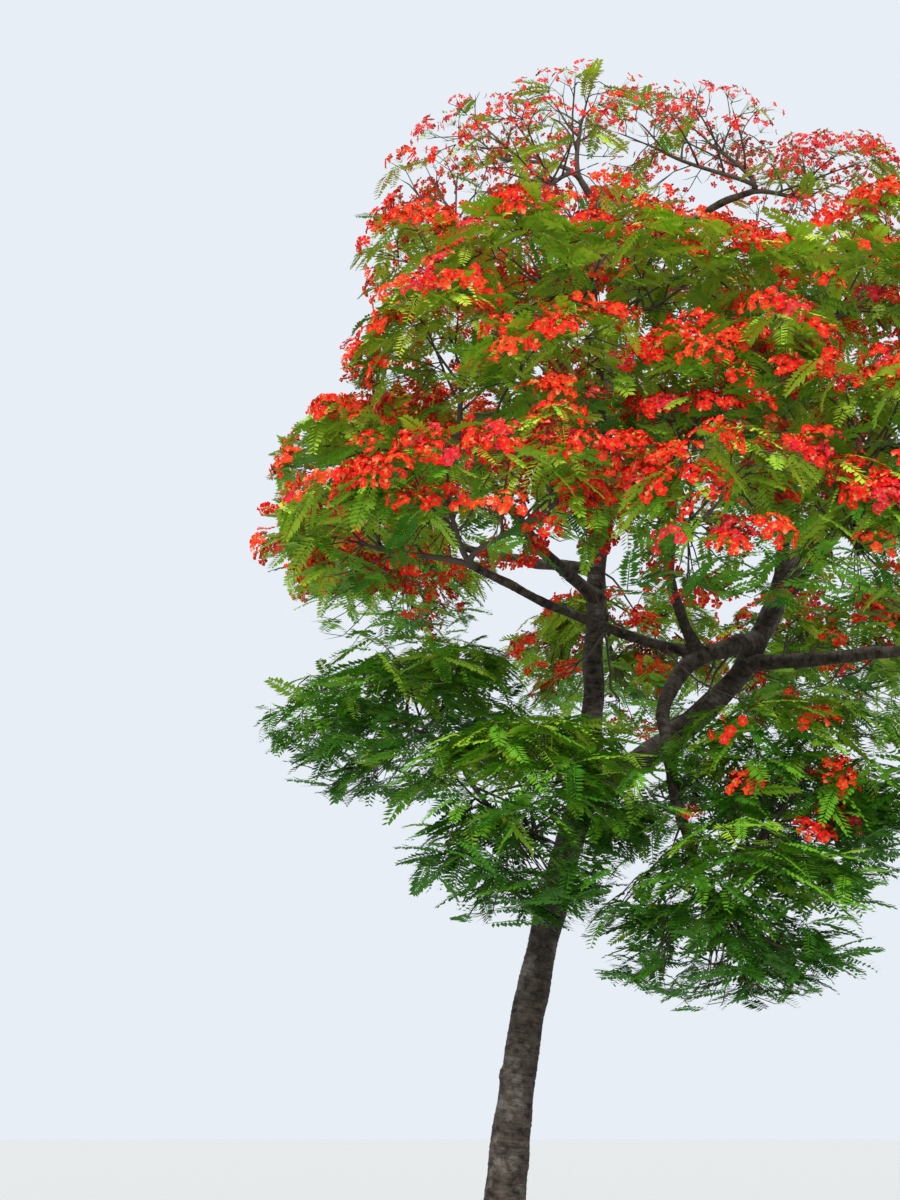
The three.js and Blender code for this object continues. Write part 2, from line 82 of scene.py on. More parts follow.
# parent, share of its length, heading, reach, rise, headings and climbs at both ends, radii
boughs = {
    "left_leader": ("trunk", 0.985, 34, 0.9, 6.05, (0, 80), (30, 68), (0.118, boughEnd)),
    "right_leader": ("trunk", 0.985, -12, 1.95, 2.0, (0, 28), (-12, 70), (0.138, 0.088)),
    "cross_bough": ("right_leader", 0.8, -140, 0.8, -0.25, (-140, -5), (-165, 0), (0.098, 0.080)),
    "top_left_bough": ("left_leader", 1, -160, 0.65, 0.75, (-160, 40), (-170, 60), (0.052, boughEnd)),
    "top_right_bough": ("left_leader", 1, -15, 1.25, 0.55, (-10, 25), (-5, 15), (0.052, boughEnd)),
    "top_back_bough": ("left_leader", 0.88, 80, 1.55, 0.95, (85, 30), (80, 35), (0.052, boughEnd)),
    "left_upper_bough": ("left_leader", 0.55, 180, 1.3, 1.9, (175, 30), (190, 40), (0.060, boughEnd)),
    "front_upper_bough": ("left_leader", 0.5, -95, 2.0, 1.05, (-95, 20), (-100, 40), (0.062, boughEnd)),
    "front_left_bough": ("left_leader", 0.33, -125, 2.35, 0.95, (-130, 15), (-125, 35), (0.066, boughEnd)),
    "back_left_bough": ("left_leader", 0.38, 135, 2.25, 0.95, (140, 20), (135, 40), (0.064, boughEnd)),
    "back_bough": ("left_leader", 0.45, 85, 2.45, 1.0, (90, 15), (85, 40), (0.062, boughEnd)),
    "low_left_bough": ("left_leader", 0.06, -140, 1.5, -0.05, (-165, 20), (-140, 0), (0.052, boughEnd)),
    "right_upper_bough": ("right_leader", 1, -75, 0.5, 2.25, (-20, 75), (-60, 70), (0.068, boughEnd)),
    "right_side_bough": ("right_leader", 0.97, 20, 1.6, 2.7, (20, 50), (10, 55), (0.066, boughEnd)),
    "back_right_bough": ("right_leader", 0.82, 70, 2.75, 1.75, (65, 25), (60, 40), (0.070, boughEnd)),
    "long_right_bough": ("right_leader", 0.72, -20, 2.8, 0.4, (-35, -8), (0, 35), (0.076, boughEnd)),
    "front_centre_bough": ("cross_bough", 1, -105, 1.7, 0.6, (-130, 35), (-95, 10), (0.056, boughEnd)),
    "front_low_bough": ("cross_bough", 1, -140, 2.8, 0.3, (-165, 8), (-135, 8), (0.052, boughEnd)),
    "right_front_bough": ("right_leader", 0.88, -80, 2.0, 0.4, (-75, 20), (-80, 25), (0.062, boughEnd)),
    "drooping_bough": ("cross_bough", 1, -100, 0.75, -2.35, (-165, -35), (-30, -75), (0.076, boughEnd)),
}

# bough, heading, reach, rise, spread, how freely it blooms, how full its leaves are, section of the crown
masses = {
    "highest_mass": ("top_left_bough", 90, 0.05, 0.75, 0.9, 0.35, 0.15, "top"),
    "top_left_mass": ("top_left_bough", 170, 0.95, 0.4, 0.95, 0.6, 0.09, "top"),
    "top_left_front_mass": ("top_left_bough", -120, 0.95, -0.4, 1.05, 0.5, 0.1, "top"),
    "top_right_mass": ("top_right_bough", -175, 0.45, 0.55, 0.9, 0.8, 0.06, "top"),
    "far_top_right_mass": ("top_right_bough", 5, 0.7, 0.0, 1.0, 0.7, 0.15, "top"),
    "top_centre_mass": ("top_right_bough", -160, 1.1, 0.3, 0.95, 0.5, 0.08, "top"),
    "back_top_left_mass": ("top_back_bough", 180, 1.0, 0.6, 1.3, 0.5, 0.06, "back"),
    "back_top_right_mass": ("top_back_bough", 0, 0.9, 0.15, 1.3, 0.6, 0.12, "back"),
    "left_upper_mass": ("left_upper_bough", -110, 0.7, -0.05, 1.05, 0.7, 0.55, "left"),
    "left_shoulder_mass": ("left_upper_bough", 110, 0.75, 1.45, 1.05, 0.6, 0.2, "left"),
    "front_upper_left_mass": ("front_upper_bough", -150, 0.65, 0.3, 1.15, 0.4, 0.8, "front"),
    "front_upper_right_mass": ("front_upper_bough", -20, 0.65, 0.1, 1.15, 0.4, 0.85, "front"),
    "front_top_mass": ("front_upper_bough", 85, 0.8, 1.1, 1.1, 0.5, 0.35, "front"),
    "front_left_mass": ("front_left_bough", -90, 0.4, 0.6, 1.15, 0.6, 0.75, "left"),
    "left_side_mass": ("front_left_bough", 140, 1.2, 0.0, 1.05, 0.5, 1.0, "left"),
    "front_middle_mass": ("front_left_bough", -50, 1.3, 0.1, 1.1, 0.6, 0.85, "front"),
    "back_left_upper_mass": ("back_left_bough", 145, 0.35, 1.0, 1.3, 0.6, 0.9, "back"),
    "back_left_lower_mass": ("back_left_bough", -160, 0.65, -0.6, 1.3, 0.4, 0.9, "back"),
    "back_upper_mass": ("back_bough", 70, 0.3, 1.0, 1.35, 0.6, 0.9, "back"),
    "back_lower_mass": ("back_bough", 70, 0.6, -1.6, 1.4, 0.4, 1.0, "back"),
    "low_front_mass": ("low_left_bough", -55, 1.1, -0.85, 1.5, 0.0, 0.9, "low"),
    "low_left_mass": ("low_left_bough", -170, 0.65, 0.25, 1.35, 0.0, 0.85, "low"),
    "right_upper_front_mass": ("right_upper_bough", -120, 1.0, 0.1, 1.25, 0.4, 0.85, "right"),
    "right_upper_side_mass": ("right_upper_bough", -30, 0.65, 0.35, 1.15, 0.4, 0.85, "right"),
    "right_top_mass": ("right_side_bough", -45, 0.15, 1.1, 1.2, 0.6, 0.7, "right"),
    "right_shoulder_mass": ("right_side_bough", -35, 0.85, -0.2, 1.25, 0.8, 0.85, "right"),
    "back_right_upper_mass": ("back_right_bough", 70, 0.3, 1.1, 1.35, 0.6, 0.9, "back"),
    "back_right_lower_mass": ("back_right_bough", -20, 0.3, -1.35, 1.4, 0.4, 1.0, "back"),
    "far_right_mass": ("long_right_bough", 45, 0.85, 0.9, 1.25, 0.5, 1.0, "right"),
    "far_right_front_mass": ("long_right_bough", -105, 0.8, 0.6, 1.2, 0.3, 1.0, "right"),
    "front_low_centre_mass": ("front_centre_bough", -85, 1.0, -0.15, 1.15, 0.9, 0.9, "front"),
    "front_band_mass": ("front_centre_bough", -30, 0.5, 1.25, 1.25, 0.8, 1.0, "front"),
    "front_low_left_mass": ("front_low_bough", -120, 0.45, 0.45, 1.05, 0.9, 0.9, "left"),
    "front_low_middle_mass": ("front_low_bough", -45, 1.05, 0.35, 1.1, 0.9, 0.9, "left"),
    "low_left_tip_mass": ("front_low_bough", 155, 1.05, 0.35, 0.95, 0.8, 0.9, "left"),
    "right_front_mass": ("right_front_bough", -80, 0.7, 0.5, 1.15, 0.9, 1.0, "right"),
    "right_front_lower_mass": ("right_front_bough", -95, 0.8, -0.5, 1.1, 0.6, 1.0, "right"),
    "low_right_mass": ("drooping_bough", -5, 0.75, 0.85, 1.45, 0.3, 0.95, "low"),
    "low_skirt_mass": ("drooping_bough", -60, 0.35, -0.1, 1.45, 0.0, 0.8, "low"),
}


def direction(heading, climb):
    around, lift = math.radians(heading), math.radians(climb)
    level = math.cos(lift)
    return np.array([math.cos(around) * level, math.sin(around) * level, math.sin(lift)])


def unit(vectors):
    return vectors / np.maximum(np.linalg.norm(vectors, axis=-1, keepdims=True), 1e-9)


def bent(start, first, last, end, count):  # points along a Bezier curve
    t = np.linspace(0, 1, count)[:, None]
    rest = 1 - t
    return rest ** 3 * start + 3 * rest ** 2 * t * first + 3 * rest * t ** 2 * last + t ** 3 * end


def bentBetween(start, end, leaves, arrives, count=lineSpots):
    hold = np.linalg.norm(end - start) * pull
    return bent(start, start + leaves * hold, end - arrives * hold, end, count)


def lengthOf(points):
    return np.linalg.norm(np.diff(points, axis=0), axis=1).sum()


def placesAt(points, shares):  # places at shares of a line's length
    lengths = np.concatenate([[0], np.cumsum(np.linalg.norm(np.diff(points, axis=0), axis=1))])
    return np.stack([np.interp(shares, lengths / lengths[-1], points[:, k]) for k in range(3)], axis=-1)


def headingsOf(points):
    return unit(np.gradient(points, axis=0))


# Lines of the trunk and boughs, as in the solids
elbowLean, elbowHeight = trunk["elbow"]
lines = {"trunk": bent(
    np.zeros(3), np.array([0, 0, trunk["height"] * trunk["plumb"]]),
    np.array([trunk["lean"] * elbowLean, 0, trunk["height"] * elbowHeight]),
    np.array([trunk["lean"], 0, trunk["height"]]), lineSpots)}
for name, (parent, share, heading, reach, rise, leaves, arrives, radii) in boughs.items():
    start = placesAt(lines[parent], [share])[0]
    end = start + direction(heading, 0) * reach + up * rise
    lines[name] = bentBetween(start, end, direction(*leaves), direction(*arrives))

massNames = list(masses)
holders, headings, reaches, rises, spreads, blooms, fullnesses, sections = zip(*masses.values())
sorts = [section if section in ("low", "top") else "other" for section in sections]  # ways of growing
centres = np.array([lines[holders[k]][-1] + direction(headings[k], 0) * reaches[k] + up * rises[k]
                    for k in range(len(masses))])
massHeights = np.array(spreads) * flatness
squares = np.square(spreads)
squash = np.array([1, 1, 1 / flatness])
roomLow = np.array(cadBox[0]) - past
roomHigh = np.array(cadBox[1]) + (past, past, 0.0)


# whether points lie in the mass's flattened ball, on its side of the flat walls to its neighbours
def staysInside(points, own):
    power = (((points[:, None] - centres) * squash) ** 2).sum(-1) - squares
    apart = np.linalg.norm((centres - centres[own]) * squash, axis=1)
    apart[own] = 1
    walls = (power - power[:, [own]]) / (2 * apart)
    walls[:, own] = 1
    inRoom = ((points > roomLow) & (points < roomHigh)).all(axis=1)
    return (power[:, own] <= 0) & (walls > margin).all(axis=1) & inRoom


# Shader helpers
def newMaterial(name, colour, roughness, specular=0.5):
    material = bpy.data.materials.new(name)
    material.use_nodes = True
    shader = material.node_tree.nodes["Principled BSDF"]
    shader.inputs["Base Color"].default_value = linear(colour)
    shader.inputs["Roughness"].default_value = roughness
    shader.inputs["Specular IOR Level"].default_value = specular
    return material


def addNode(material, kind, settings=None, links=None):
    node = material.node_tree.nodes.new(kind)
    for key, value in (settings or {}).items():
        if key in node.inputs:
            node.inputs[key].default_value = value
        else:
            setattr(node, key, value)
    for key, source in (links or {}).items():
        material.node_tree.links.new(source, node.inputs[key])
    return node


def applyModifier(piece, kind, **settings):
    bpy.ops.object.select_all(action="DESELECT")
    piece.select_set(True)
    bpy.context.view_layer.objects.active = piece
    modifier = piece.modifiers.new(kind.title(), kind)
    for key, value in settings.items():
        setattr(modifier, key, value)
    bpy.ops.object.modifier_apply(modifier=modifier.name)


def vertexValues(piece, what):  # "co" gives places, "normal" gives normals
    flat = np.zeros(len(piece.data.vertices) * 3, np.float32)
    piece.data.vertices.foreach_get(what, flat)
    return flat.reshape(-1, 3).astype(float)


def moveVertices(piece, places):
    piece.data.vertices.foreach_set("co", places.astype(np.float32).ravel())
    piece.data.update()


# Bark: each limb is a bevelled curve, all are fused, and the relief follows each limb's own length
bark = {
    "rings": 18, "steps": 3, "sides": 5, "endRadius": 0.036, "wander": (0.85, 0.4), "bends": (1.4, 4.2),
    "collar": 0.35, "collarFade": 0.16, "collarLimit": 0.11, "below": 0.12, "belowWidth": 1.1,
    "swaySeed": 5, "voxel": 0.015, "smoothing": 3, "triangles": 100000,
}


def limbRadius(name, share, length):
    if name == "trunk":
        height = share * trunk["height"]
        foot = trunk["foot"] * np.exp(-height / trunk["footFade"])
        flare = trunk["flare"] * np.exp(-np.maximum(height, 0) / trunk["flareFade"])
        return trunk["core"] + foot + flare
    base, tip = boughs[name][7]
    tip = bark["endRadius"] if tip == boughEnd else tip  # ends are finer than the solids'
    collar = bark["collar"] * np.exp(-share * length / bark["collarFade"]) * (base < bark["collarLimit"])
    return (base + (tip - base) * share) * (1 + collar)


def addLimb(name):
    line = lines[name]
    shares = np.linspace(0, 1, bark["rings"])
    places = placesAt(line, shares)
    radii = limbRadius(name, shares, lengthOf(line))
    if name == "trunk":  # carried on below the ground, where it is cut flat later
        places = np.vstack([[0, 0, -bark["below"]], places])
        radii = np.concatenate([[radii[0] * bark["belowWidth"]], radii])
    else:  # a growing limb is never quite even
        for wander, bends in zip(bark["wander"], bark["bends"]):
            sway = np.array([noise.noise_vector(Vector(p) * bends) for p in places])
            places = places + sway * (radii * wander * np.sin(np.pi * shares))[:, None]
    bpy.ops.curve.primitive_bezier_curve_add(location=(0, 0, 0))
    limb = bpy.context.object
    spline = limb.data.splines[0]
    spline.bezier_points.add(len(places) - 2)
    for point, place, radius in zip(spline.bezier_points, places, radii):
        point.co = place
        point.radius = radius
        point.handle_left_type = point.handle_right_type = "AUTO"
    limb.data.bevel_depth = 1.0
    limb.data.bevel_resolution = bark["sides"]
    limb.data.resolution_u = bark["steps"]
    limb.data.use_fill_caps = True
    bpy.ops.object.convert(target="MESH")
    return bpy.context.object


bpy.ops.object.select_all(action="DESELECT")
noise.seed_set(bark["swaySeed"])  # noise_vector starts from the clock otherwise
limbs = [addLimb(name) for name in lines]

# the root flare is fluted
foot = limbs[0]
places = vertexValues(foot, "co")
around = np.arctan2(places[:, 1], places[:, 0])
flare = np.exp(-np.maximum(places[:, 2], 0) / trunk["flareFade"])
low = places[:, 2] < trunk["fluteTop"]
flute = 1 + trunk["fluteDepth"] * flare * np.cos(trunk["flutes"] * around) * low
places[:, :2] *= flute[:, None]
moveVertices(foot, places)

# swollen rings where old boughs were shed, on the trunk and the lower leaders
scar = {
    "limbs": ("trunk", "trunk", "left_leader", "right_leader"), "count": 9, "seed": 7,
    "shares": {"trunk": (0.3, 0.9), "left_leader": (0.1, 0.55), "right_leader": (0.1, 0.55)},
    "radius": 0.075, "sizes": (0.6, 1.0), "ring": 0.55, "swelling": 0.38, "sunk": 0.93,
}


def addScar(name, draw):
    share = draw.uniform(*scar["shares"][name])
    place, ahead = placesAt(lines[name], [share, share + 0.02])
    side = unit(np.cross(unit(ahead - place), direction(draw.uniform(0, 360), 0)))
    radius = limbRadius(name, share, lengthOf(lines[name]))
    size = scar["radius"] * draw.uniform(*scar["sizes"])
    bpy.ops.mesh.primitive_torus_add(
        location=place + side * (radius * scar["sunk"]),
        rotation=Vector(side).to_track_quat("Z", "Y").to_euler(),
        major_radius=size * scar["ring"], minor_radius=size * scar["swelling"],
        major_segments=20, minor_segments=10)
    return bpy.context.object


shed = np.random.default_rng(scar["seed"])
scars = [addScar(scar["limbs"][k % len(scar["limbs"])], shed) for k in range(scar["count"])]

bpy.ops.object.select_all(action="DESELECT")
for limb in limbs + scars:
    limb.select_set(True)
bpy.context.view_layer.objects.active = limbs[0]
bpy.ops.object.join()
wood = bpy.context.object
wood.name = "trunk_and_boughs"
bpy.ops.object.transform_apply(location=True, rotation=True, scale=True)
applyModifier(wood, "REMESH", mode="VOXEL", voxel_size=bark["voxel"])
applyModifier(wood, "SMOOTH", factor=0.5, iterations=bark["smoothing"])
print("limbs fused:", len(wood.data.polygons), "faces")

# The bark's relief: depth as a share of the limb's radius, and how close the marks lie, per metre
# across and along the limb
relief = {
    "marks": {"lumps": (0.11, 3.5, 3.5), "ridges": (0.025, 18, 7), "wrinkles": (0.035, 6, 40)},
    "deepest": 0.016, "leastGirth": 0.05, "limbShift": 3.7, "spotGap": 0.06, "fewestSpots": 6,
    "batch": 4000,
}

# Spots all along the limbs, with which each point of the bark finds its limb
spots, alongs, sides, lengthsSoFar, girths = [], [], [], [], []
for order, (name, line) in enumerate(lines.items()):
    length = lengthOf(line)
    shares = np.linspace(0, 1, max(int(length / relief["spotGap"]), relief["fewestSpots"]))
    places = placesAt(line, shares)
    ahead = headingsOf(places)
    quiet = np.eye(3)[np.argmin(np.abs(places[-1] - places[0]))]
    spots.append(places)
    alongs.append(ahead)
    sides.append(unit(np.cross(quiet, ahead)))
    lengthsSoFar.append(shares * length + order * relief["limbShift"])
    girths.append(limbRadius(name, shares, length))
spots, alongs, sides = np.vstack(spots), np.vstack(alongs), np.vstack(sides)
lengthsSoFar, girths = np.concatenate(lengthsSoFar), np.concatenate(girths)


def grainOf(points):  # place across and along the nearest limb, and that limb's girth
    grain, girth = np.zeros_like(points), np.zeros(len(points))
    for first in range(0, len(points), relief["batch"]):
        batch = slice(first, first + relief["batch"])
        some = points[batch]
        away = np.linalg.norm(some[:, None] - spots, axis=2) - girths
        near = np.argmin(away, axis=1)
        offset = some - spots[near]
        other = np.cross(alongs[near], sides[near])
        grain[batch] = np.stack([
            (offset * sides[near]).sum(1), (offset * other).sum(1),
            lengthsSoFar[near] + (offset * alongs[near]).sum(1)], axis=1)
        girth[batch] = girths[near]
    return grain, girth


places = vertexValues(wood, "co")
grain, girth = grainOf(places)
depth = np.zeros(len(places))
for kind, (share, across, along) in relief["marks"].items():
    wave = np.array([noise.noise(Vector(p)) for p in grain * (across, across, along)])
    if kind == "ridges":
        wave = 1 - 2 * np.abs(wave)
    thick = np.maximum(girth, relief["leastGirth"])
    depth += np.clip(wave * share * thick, -relief["deepest"], relief["deepest"])
moveVertices(wood, places + vertexValues(wood, "normal") * depth[:, None])

# cut flat at the ground
bpy.ops.object.mode_set(mode="EDIT")
bpy.ops.mesh.select_all(action="SELECT")
bpy.ops.mesh.bisect(plane_co=(0, 0, 0), plane_no=(0, 0, 1), clear_inner=True, use_fill=True)
bpy.ops.object.mode_set(mode="OBJECT")
faces = sum(len(p.vertices) - 2 for p in wood.data.polygons)
applyModifier(wood, "DECIMATE", ratio=min(1.0, bark["triangles"] / faces))
grain, _ = grainOf(vertexValues(wood, "co"))
grainLayer = wood.data.attributes.new("barkGrain", "FLOAT_VECTOR", "POINT")
grainLayer.data.foreach_set("vector", grain.astype(np.float32).ravel())
# how far the bark faces up at each point, which drives the painted highlight on the limbs' upper sides
upward = vertexValues(wood, "normal")[:, 2]
upwardLayer = wood.data.attributes.new("barkUpward", "FLOAT", "POINT")
upwardLayer.data.foreach_set("value", upward.astype(np.float32))
bpy.ops.object.shade_smooth()
print("bark relief:", len(wood.data.polygons), "faces")


def greyBrownBark():
    # Living bark, grown: dark brown in the cracks and grey in lichen spots. A painted highlight makes the
    # limbs' upper sides paler, and painted shade darkens the creases of its fine cross wrinkles
    material = newMaterial("greyBrownBark", "#594f46", 0.92, 0.25)
    shader = material.node_tree.nodes["Principled BSDF"]
    grain = addNode(material, "ShaderNodeAttribute", {"attribute_name": "barkGrain"})
    # mottled plates about 90 mm wide and 70 mm tall, wrinkles about 17 mm apart and 200 mm long
    # round the limb, and lichen in spots about 380 mm across
    plates = addNode(material, "ShaderNodeMapping", {"Scale": (1 / 0.090, 1 / 0.090, 1 / 0.070)},
                     {"Vector": grain.outputs["Vector"]})
    rings = addNode(material, "ShaderNodeMapping", {"Scale": (1 / 0.200, 1 / 0.200, 1 / 0.017)},
                    {"Vector": grain.outputs["Vector"]})
    patches = addNode(material, "ShaderNodeTexNoise", {"Scale": 1.0, "Detail": 6.0, "Roughness": 0.62},
                      {"Vector": plates.outputs["Vector"]})
    wrinkles = addNode(material, "ShaderNodeTexNoise", {"Scale": 1.0, "Detail": 3.0, "Roughness": 0.6},
                       {"Vector": rings.outputs["Vector"]})
    lichen = addNode(material, "ShaderNodeTexNoise",
                     {"Scale": 1 / 0.380, "Detail": 5.0, "Roughness": 0.7},
                     {"Vector": grain.outputs["Vector"]})
    tones = addNode(material, "ShaderNodeValToRGB", {}, {"Fac": patches.outputs["Fac"]})
    crack, ridge = tones.color_ramp.elements
    crack.position, crack.color = 0.34, linear("#211a15")
    ridge.position, ridge.color = 0.70, linear("#594f46")
    upward = addNode(material, "ShaderNodeAttribute", {"attribute_name": "barkUpward"})
    lichenAndLitTop = addNode(material, "ShaderNodeMath", {"operation": "MULTIPLY_ADD"},
                      {0: upward.outputs["Fac"], 2: lichen.outputs["Fac"]})
    lichenAndLitTop.inputs[1].default_value = 0.2  # painted highlight: the limbs' upper sides are painted paler, as if lit from above, on top of the lichen spots
    grey = addNode(material, "ShaderNodeMapRange",
                   {"From Min": 0.54, "From Max": 0.76, "To Min": 0.0, "To Max": 0.8},
                   {"Value": lichenAndLitTop.outputs["Value"]})
    lichenAndLitTopColour = addNode(material, "ShaderNodeMix", {"data_type": "RGBA"},
                        {0: grey.outputs["Result"], 6: tones.outputs["Color"]})
    lichenAndLitTopColour.inputs[7].default_value = linear("#8c867c")
    # painted shade: the bark is darkened in the creases of the wrinkles
    wrinkleShade = addNode(material, "ShaderNodeMapRange",
                      {"From Min": 0.36, "From Max": 0.5, "To Min": 0.55, "To Max": 1.0},
                      {"Value": wrinkles.outputs["Fac"]})
    wrinkleShaded = addNode(material, "ShaderNodeMix", {"data_type": "RGBA", "blend_type": "MULTIPLY"},
                    {6: lichenAndLitTopColour.outputs[2], 7: wrinkleShade.outputs["Result"]})
    wrinkleShaded.inputs[0].default_value = 1.0
    material.node_tree.links.new(wrinkleShaded.outputs[2], shader.inputs["Base Color"])
    height = addNode(material, "ShaderNodeMath", {"operation": "ADD"},
                     {0: patches.outputs["Fac"], 1: wrinkles.outputs["Fac"]})
    bump = addNode(material, "ShaderNodeBump", {"Strength": 0.7, "Distance": 0.012},
                   {"Height": height.outputs["Value"]})
    material.node_tree.links.new(bump.outputs["Normal"], shader.inputs["Normal"])
    return material


wood.data.materials.clear()
wood.data.materials.append(greyBrownBark())
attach(wood, "root")
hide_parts(*lines)


# Joined meshes of many small things
def joined(name, vertices, faceSets, materials, smooth=False):
    mesh = bpy.data.meshes.new(name)
    faces = [face for corners, _ in faceSets for face in corners.tolist()]
    slots = np.concatenate([np.broadcast_to(which, len(corners)) for corners, which in faceSets])
    mesh.from_pydata(vertices.tolist(), [], faces)
    for material in materials:
        mesh.materials.append(material)
    mesh.polygons.foreach_set("material_index", slots.astype(np.int32))
    mesh.polygons.foreach_set("use_smooth", np.full(len(faces), smooth))
    mesh.update()
    piece = bpy.data.objects.new(name, mesh)
    scene.collection.objects.link(piece)
    triangles = sum(len(f) - 2 for f in faces)
    print(name + ":", triangles, "triangles")
    return piece


# round limbs with a closed foot and a pointed tip; paths holds each limb's rings
def tubes(paths, radii, sides):
    count, rings = paths.shape[:2]
    along = unit(np.gradient(paths, axis=1))
    quiet = np.eye(3)[np.argmin(np.abs(paths[:, -1] - paths[:, 0]), axis=1)]
    side = unit(np.cross(quiet[:, None], along))
    other = np.cross(along, side)
    turn = 2 * np.pi * np.arange(sides) / sides
    ring = side[:, :-1, None] * np.cos(turn)[:, None] + other[:, :-1, None] * np.sin(turn)[:, None]
    body = paths[:, :-1, None] + ring * radii[:, :-1, None, None]
    perLimb = (rings - 1) * sides + 1
    vertices = np.concatenate([body.reshape(count, -1, 3), paths[:, -1:]], axis=1).reshape(-1, 3)
    first = (np.arange(count) * perLimb)[:, None, None]
    level = (np.arange(rings - 2) * sides)[None, :, None]
    here, after = np.arange(sides), (np.arange(sides) + 1) % sides
    near, far = first + level, first + level + sides
    quads = np.stack([near + here, near + after, far + after, far + here], axis=-1).reshape(-1, 4)
    last = first + (rings - 2) * sides
    point = np.broadcast_to(first + perLimb - 1, last.shape[:2] + (sides,))
    tips = np.stack([last + here, last + after, point], axis=-1).reshape(-1, 3)
    feet = (first[:, 0] + here[::-1]).reshape(-1, sides)
    return vertices, quads, tips, feet


# How each mass grows: the solids' stem and spiral of twigs, carried on to finer and finer twigs.
# The ends make a flattened dome. Twigs gather about each branch, and each branch has its own terrace,
# its own reach, or lobe, and its own patch of bloom. Some twigs on the flanks hang.
growth = {
    "seed": 1009, "stemRadii": (0.030, 0.016), "stemClimb": 31, "dome": 0.74, "lift": -0.12, "waver": 0.30,
    "branches": 8, "branchShares": (0.35, 0.97), "branchOut": (0.22, 0.62), "branchRadii": (0.014, 0.007),
    "branchLevel": 0.8, "branchSway": 0.25, "branchEnd": (0.3, 0.1), "hubOut": 1.4,
    "terrace": {"low": 0.34, "top": 0.15, "other": 0.2},
    "lobes": {"low": (0.66, 1.1), "top": (0.85, 1.1), "other": (0.8, 1.1)},
    "patches": {"low": (0.1, 0.9), "top": (0.3, 1.15), "other": (0.35, 1.6)},
    "twigs": {"low": 64, "top": 48, "other": 46}, "usualSpread": 1.1, "anyTwigs": 0.8, "fullTwigs": 0.2,
    "twigOut": (0.08, 0.97), "twigRadii": (0.0072, 0.0045), "twigSway": 0.12, "twigEnd": 0.4,
    "twigLift": (0.0, 0.5), "shortest": 0.08, "follow": 0.7, "turnCost": 1.7,
    "gather": {"low": 0.2, "top": 0.15, "other": 0.2},
    "hanging": {"low": 0.55, "top": 0.2, "other": 0.48}, "hangs": (0.3, 1.4), "flank": 0.6,
    "sideTwigs": {"low": 1.4, "top": 2.4, "other": 1.5}, "sideRadii": (0.005, 0.0035),
    "sideTurn": (0.7, 1.3), "sideBend": 0.7, "sideLift": 0.2, "sideEnd": (0.4, 0.3),
    "sideReach": (0.14, 0.30),
}
stemRings, branchRings, twigRings, sideRings = 12, 7, 5, 4  # points along each kind
goldenAngle = math.pi * (3 - math.sqrt(5))
stemPaths, branchPaths, twigPaths, sideTwigPaths = [], [], [], []
ends = []  # for each twig's end: mass, place, heading, whether it is a main twig, how freely it blooms


def domeLevel(out, luck):
    return growth["dome"] * np.sqrt(1 - out ** 2) + growth["lift"] + growth["waver"] * (luck - 0.5)


def spiralled(k, count, reach):  # how far out the k-th of many stands, so that all cover the mass evenly
    return math.sqrt(np.interp((k + 0.5) / count, (0, 1), np.square(reach)))


def levelled(heading, keep, lift):  # a heading that flattens out and lifts a little
    return unit(heading * (1, 1, keep) + up * lift)


def drawnIn(place, start, own):  # a place outside the mass is drawn back toward where it grows from
    for share in (1.0, 0.88, 0.76, 0.64, 0.5):
        spot = start + (place - start) * share
        if staysInside(spot[None], own)[0]:
            return spot
    return None


def growBranches(own, stem, swing, draw):  # each with its hub, terrace, lobe and patch
    sort, spread = sorts[own], spreads[own]
    found = []
    for k in range(growth["branches"]):
        out = spiralled(k, growth["branches"], growth["branchOut"])
        heading = swing + k * goldenAngle
        rank = (k + 0.5) / growth["branches"]
        foot = placesAt(stem, [np.interp(rank, (0, 1), growth["branchShares"][::-1])])[0]
        flat = np.array([math.cos(heading), math.sin(heading), 0]) * out
        rise = up * flatness * domeLevel(out, draw.uniform()) * growth["branchLevel"]
        tip = drawnIn(centres[own] + spread * (flat + rise), foot, own)
        if tip is None:
            continue
        outward = unit(tip - foot)
        leaves = unit(outward + draw.normal(0, growth["branchSway"], 3))
        branch = bentBetween(foot, tip, leaves, levelled(outward, *growth["branchEnd"]), branchRings)
        branchPaths.append(branch)
        hub = (tip - centres[own]) * (growth["hubOut"], growth["hubOut"], 0)
        found.append((branch, hub, draw.normal(0, growth["terrace"][sort]),
                      draw.uniform(*growth["lobes"][sort]), draw.uniform(*growth["patches"][sort])))
    return found


def growSideTwigs(own, twig, patch, draw):
    for _ in range(int(growth["sideTwigs"][sorts[own]] + draw.uniform())):
        ring = draw.integers(2, 4)
        turn = draw.choice([-1, 1]) * draw.uniform(*growth["sideTurn"])
        ahead = twig[ring + 1] - twig[ring]
        aside = np.cross(up, ahead) * math.tan(turn * growth["sideBend"])
        aside = unit(ahead + aside + up * np.linalg.norm(ahead) * growth["sideLift"])
        tip = drawnIn(twig[ring] + aside * draw.uniform(*growth["sideReach"]), twig[ring], own)
        if tip is None:
            continue
        arrives = levelled(aside, *growth["sideEnd"])
        sideTwigPaths.append(bentBetween(twig[ring], tip, aside, arrives, sideRings))
        ends.append((own, tip, aside, False, patch))


